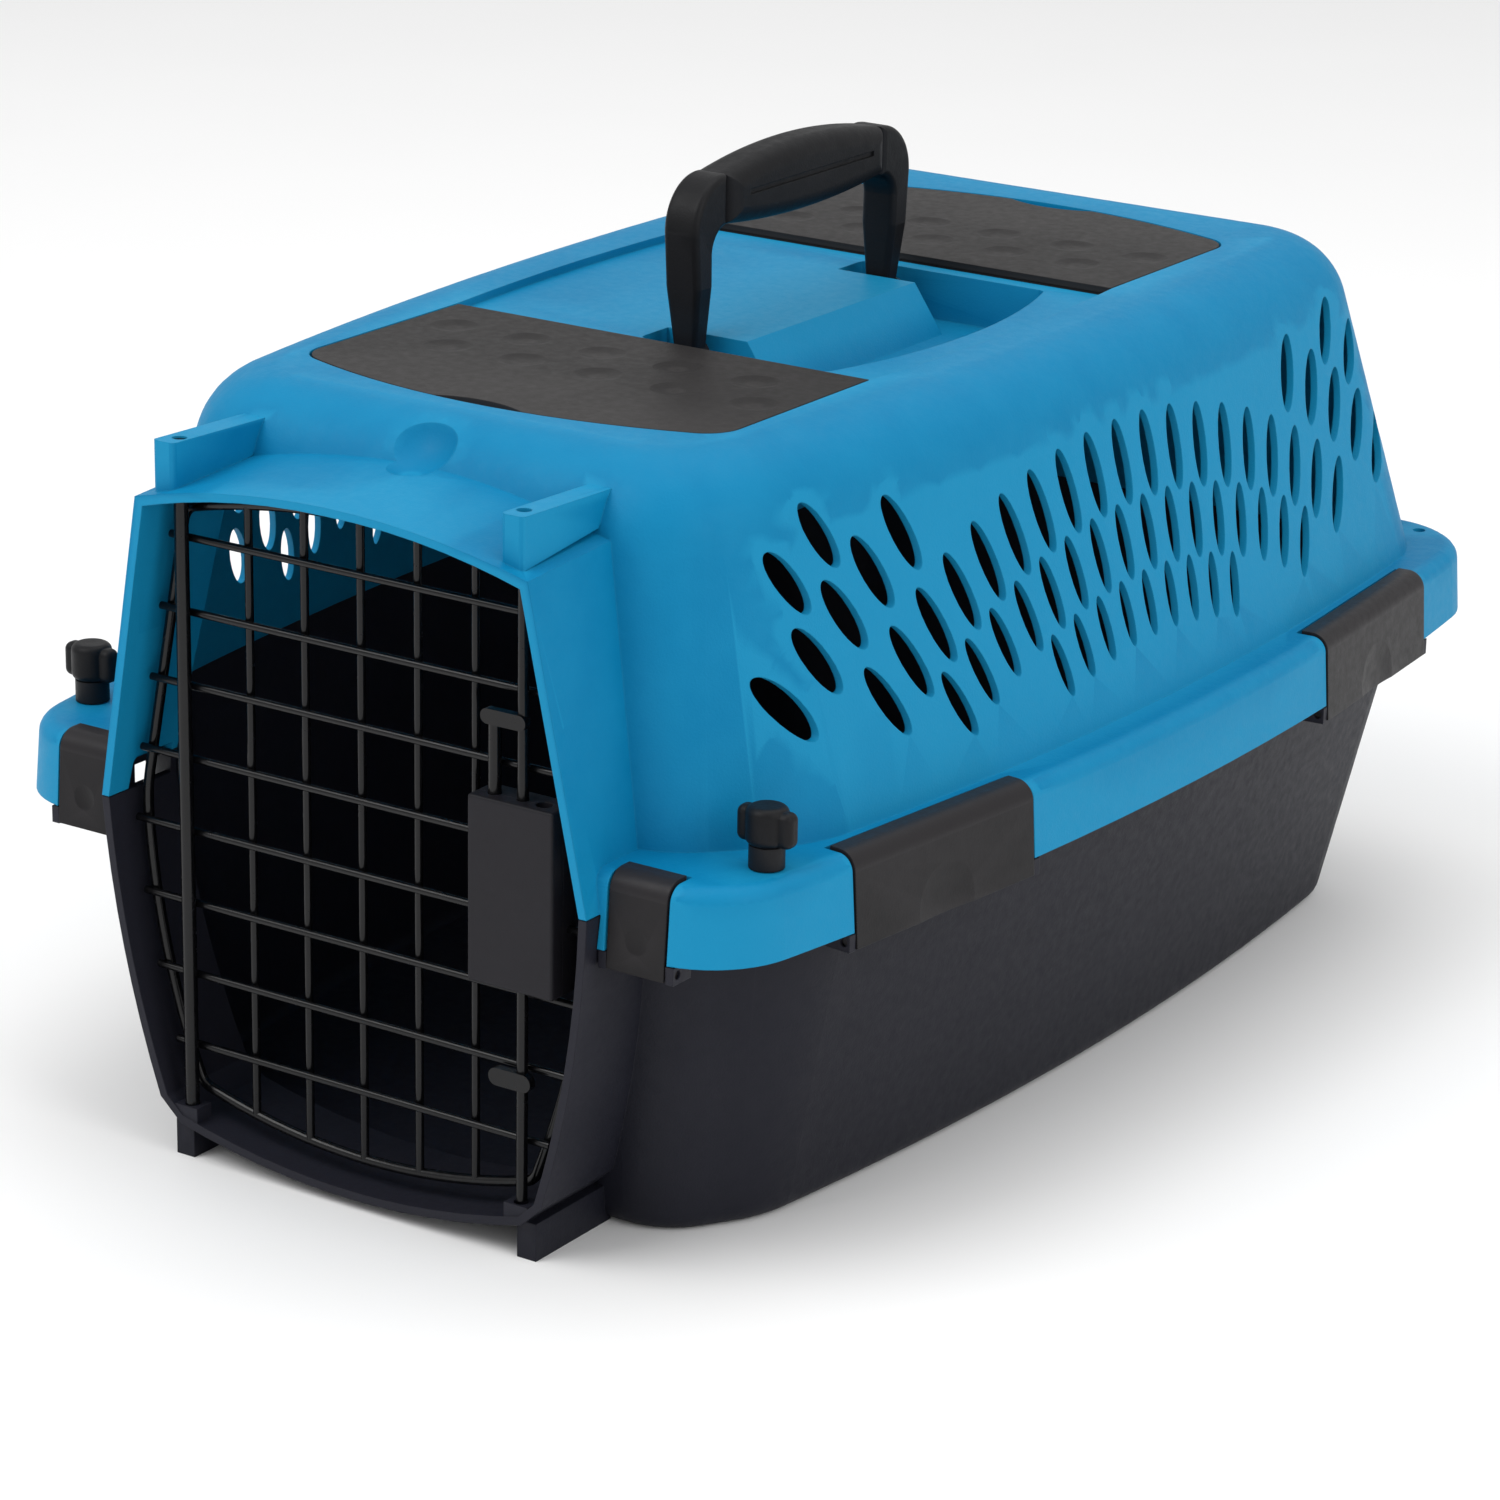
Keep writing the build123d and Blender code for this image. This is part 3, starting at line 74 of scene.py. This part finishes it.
# name, place, side of the square, watts
LIGHTS = (
    ("key", (-0.9, -1.6, 2.2), 1.6, 32.0),
    ("side", (2.2, -0.4, 1.3), 1.6, 15.0),
    ("top", (0.2, 0.4, 2.4), 2.0, 18.0),
)


def node(tree, kind, **values):
    """A shader node with its input sockets set by name."""
    made = tree.nodes.new(kind)
    for name, value in values.items():
        made.inputs[name.replace("_", " ")].default_value = value
    return made


def noise(tree, place, size, detail):
    """Noise whose features are about size metres across."""
    made = node(tree, "ShaderNodeTexNoise", Scale=1.0 / size, Detail=detail, Roughness=NOISE_ROUGHNESS)
    tree.links.new(place.outputs["Object"], made.inputs["Vector"])
    return made


def ramp(tree, source, span, first, second):
    """A colour that goes from first to second as source crosses the span."""
    made = tree.nodes.new("ShaderNodeValToRGB")
    for element, position, colour in zip(made.color_ramp.elements, span, (first, second)):
        element.position = position
        element.color = (*colour, 1.0)
    tree.links.new(source, made.inputs["Fac"])
    return made


def grey(value):
    return (value, value, value)


def tinted(colour, share):
    """The colour made darker or lighter by a share."""
    return [share * channel for channel in colour]


def mixed(base, other, share):
    """The base colour with a share of another in it."""
    return [(1 - share) * first + share * second for first, second in zip(base, other)]


def blank(name):
    """A node material: the material, its tree, its Principled shader and its coordinates."""
    material = bpy.data.materials.new(name)
    material.use_nodes = True
    tree = material.node_tree
    shader = tree.nodes["Principled BSDF"]
    return material, tree, shader, tree.nodes.new("ShaderNodeTexCoord")


def mottled_colour_with_painted_edge_highlight(tree, place, base, light):
    """Base colour with broad mottling, and a painted highlight: a lighter tint along sharp edges."""
    mottle = noise(tree, place, MOTTLE_SIZE, 4.0)
    body = ramp(tree, mottle.outputs["Fac"], MOTTLE_RANGE, base, mixed(base, light, MOTTLE_TINT))
    geometry = tree.nodes.new("ShaderNodeNewGeometry")
    # sharp edges get the lighter tint by pointiness: a painted highlight where light would catch them
    edge = ramp(tree, geometry.outputs["Pointiness"], EDGE_RANGE, grey(0.0), grey(EDGE_HIGHLIGHT_SHARE))
    mix = tree.nodes.new("ShaderNodeMix")
    mix.data_type = "RGBA"
    mix.inputs["B"].default_value = (*light, 1.0)
    tree.links.new(edge.outputs["Color"], mix.inputs["Factor"])
    tree.links.new(body.outputs["Color"], mix.inputs["A"])
    return mix


def grained_normal(tree, place, shader, depth):
    """Rounded edges with a fine moulded grain on top."""
    edge = node(tree, "ShaderNodeBevel", Radius=EDGE_ROUND)
    edge.samples = EDGE_SAMPLES
    grain = noise(tree, place, GRAIN_SIZE, 3.0)
    bump = node(tree, "ShaderNodeBump", Strength=1.0, Distance=depth)
    tree.links.new(grain.outputs["Fac"], bump.inputs["Height"])
    tree.links.new(edge.outputs["Normal"], bump.inputs["Normal"])
    tree.links.new(bump.outputs["Normal"], shader.inputs["Normal"])


def moulded_plastic(name, base, light, roughness, specular=MATTE_SPECULAR, depth=GRAIN_DEPTH):
    """Matte injection-moulded plastic: fine grain, slight mottling, uneven sheen."""
    material, tree, shader, place = blank(name)
    colour = mottled_colour_with_painted_edge_highlight(tree, place, base, light)
    tree.links.new(colour.outputs["Result"], shader.inputs["Base Color"])
    scuffs = noise(tree, place, SCUFF_SIZE, 5.0)
    low, high = grey(roughness - SHEEN_BELOW), grey(roughness + SHEEN_ABOVE)
    sheen = ramp(tree, scuffs.outputs["Fac"], NOISE_RANGE, low, high)
    tree.links.new(sheen.outputs["Color"], shader.inputs["Roughness"])
    shader.inputs["Specular IOR Level"].default_value = specular
    grained_normal(tree, place, shader, depth)
    return material


def coated_wire(name):
    """Glossy black coating on steel wire, a little lumpy."""
    material, tree, shader, place = blank(name)
    mottle = noise(tree, place, COATING_MOTTLE, 3.0)
    colour = ramp(tree, mottle.outputs["Fac"], NOISE_RANGE, WIRE, tinted(WIRE, 2.0))
    tree.links.new(colour.outputs["Color"], shader.inputs["Base Color"])
    lumps = noise(tree, place, COATING_LUMP, 2.0)
    sheen = ramp(tree, lumps.outputs["Fac"], NOISE_RANGE, *(grey(value) for value in COATING_SHEEN))
    tree.links.new(sheen.outputs["Color"], shader.inputs["Roughness"])
    bump = node(tree, "ShaderNodeBump", Strength=COATING_BUMP, Distance=COATING_DEPTH)
    tree.links.new(lumps.outputs["Fac"], bump.inputs["Height"])
    tree.links.new(bump.outputs["Normal"], shader.inputs["Normal"])
    shader.inputs["Specular IOR Level"].default_value = COATING_SPECULAR
    return material


def plain_steel(name):
    """Zinc-plated steel for pins and bolts."""
    material, tree, shader, place = blank(name)
    mottle = noise(tree, place, STEEL_MOTTLE, 4.0)
    colour = ramp(tree, mottle.outputs["Fac"], NOISE_RANGE, STEEL, tinted(STEEL, STEEL_TINT))
    tree.links.new(colour.outputs["Color"], shader.inputs["Base Color"])
    sheen = ramp(tree, mottle.outputs["Fac"], NOISE_RANGE, *(grey(value) for value in STEEL_SHEEN))
    tree.links.new(sheen.outputs["Color"], shader.inputs["Roughness"])
    shader.inputs["Metallic"].default_value = 1.0
    return material


def finishes():
    """One finish for each group of nodes, by the start of the node's name."""
    blue = moulded_plastic("shell_blue", BLUE, BLUE_LIGHT, 0.5, specular=LOW_SPECULAR)
    charcoal = moulded_plastic("shell_charcoal", CHARCOAL, CHARCOAL_LIGHT, 0.5)
    clip = moulded_plastic("clip_brown_black", CLIP_BROWN, CLIP_LIGHT, 0.4, depth=FINE_GRAIN_DEPTH)
    lid = moulded_plastic("lid_brown_grey", LID_BROWN, LID_LIGHT, 0.5, specular=LOW_SPECULAR)
    housing = moulded_plastic("housing_charcoal", HOUSING, HOUSING_LIGHT, 0.42, depth=FINE_GRAIN_DEPTH)
    black = moulded_plastic("handle_black", BLACK, BLACK_LIGHT, 0.44)
    grip = moulded_plastic("grip_black", BLACK, BLACK_LIGHT, 0.5)
    wire = coated_wire("wire_black")
    steel = plain_steel("steel_pin")
    return {
        "top_shell": blue, "base_shell": charcoal, "side_clip": clip, "front_clip": clip,
        "front_storage_lid": lid, "rear_storage_lid": lid, "latch_housing": housing,
        "door_": wire, "upper_latch_rod": wire, "lower_latch_rod": wire,
        "handle_frame": black, "handle_grip": grip, "wing_knob": black,
        "handle_pin": steel, "lock_bolt": steel,
    }


def dress(nodes):
    """Gives every node its finish."""
    table = finishes()
    for name, piece in nodes.items():
        start = next(key for key in table if name.startswith(key))
        piece.data.materials.clear()
        piece.data.materials.append(table[start])


def camera():
    """The camera's place and turn, with a slight roll."""
    azimuth, elevation, roll = (math.radians(v) for v in (CAMERA_AZIMUTH, CAMERA_ELEVATION, CAMERA_ROLL))
    level = Vector((math.cos(azimuth), math.sin(azimuth), 0.0))
    ahead = Vector((-math.sin(azimuth), math.cos(azimuth), 0.0))
    back = math.sin(elevation) * Vector((0.0, 0.0, 1.0)) - math.cos(elevation) * ahead
    upward = back.cross(level)
    right = math.cos(roll) * level + math.sin(roll) * upward
    up = -math.sin(roll) * level + math.cos(roll) * upward
    made = bpy.data.objects.new("camera", bpy.data.cameras.new("camera"))
    bpy.context.scene.collection.objects.link(made)
    turn = Matrix((right, up, back)).transposed().to_4x4()
    made.matrix_world = Matrix.Translation(CAMERA_PLACE) @ turn
    made.data.lens = CAMERA_LENS
    made.data.sensor_width = CAMERA_SENSOR
    made.data.clip_end = CAMERA_REACH
    bpy.context.scene.camera = made


def floor():
    """A pale matte floor, with the faintest mottling."""
    bpy.ops.mesh.primitive_plane_add(size=FLOOR_SIZE, location=(0, 0, 0))
    made = bpy.context.object
    made.name = "studio_floor"
    material, tree, shader, place = blank("studio_floor")
    paper = noise(tree, place, FLOOR_MOTTLE, 2.0)
    tone = ramp(tree, paper.outputs["Fac"], NOISE_RANGE, FLOOR, tinted(FLOOR, FLOOR_TINT))
    tree.links.new(tone.outputs["Color"], shader.inputs["Base Color"])
    shader.inputs["Roughness"].default_value = FLOOR_ROUGHNESS
    made.data.materials.append(material)


def surround():
    """An even pale world, with colours shown as they are."""
    world = bpy.data.worlds.new("surround")
    world.use_nodes = True
    background = world.node_tree.nodes["Background"]
    background.inputs["Color"].default_value = (*WORLD, 1.0)
    background.inputs["Strength"].default_value = WORLD_STRENGTH
    bpy.context.scene.world = world
    bpy.context.scene.view_settings.view_transform = "Standard"


def area_light(name, place, size, power):
    """A soft square light that faces the carrier."""
    data = bpy.data.lights.new(name, "AREA")
    data.size = size
    data.energy = power
    made = bpy.data.objects.new(name, data)
    bpy.context.scene.collection.objects.link(made)
    made.location = place
    made.rotation_euler = (Vector(LIGHT_TARGET) - Vector(place)).to_track_quat("-Z", "Y").to_euler()


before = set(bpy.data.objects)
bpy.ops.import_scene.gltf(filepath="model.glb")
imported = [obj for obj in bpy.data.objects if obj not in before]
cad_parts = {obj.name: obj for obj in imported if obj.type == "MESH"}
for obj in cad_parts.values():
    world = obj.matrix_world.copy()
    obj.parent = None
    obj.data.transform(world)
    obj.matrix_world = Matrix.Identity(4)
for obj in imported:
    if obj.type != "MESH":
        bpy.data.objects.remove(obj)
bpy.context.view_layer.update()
dress(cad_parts)
camera()
floor()
surround()
for light in LIGHTS:
    area_light(*light)
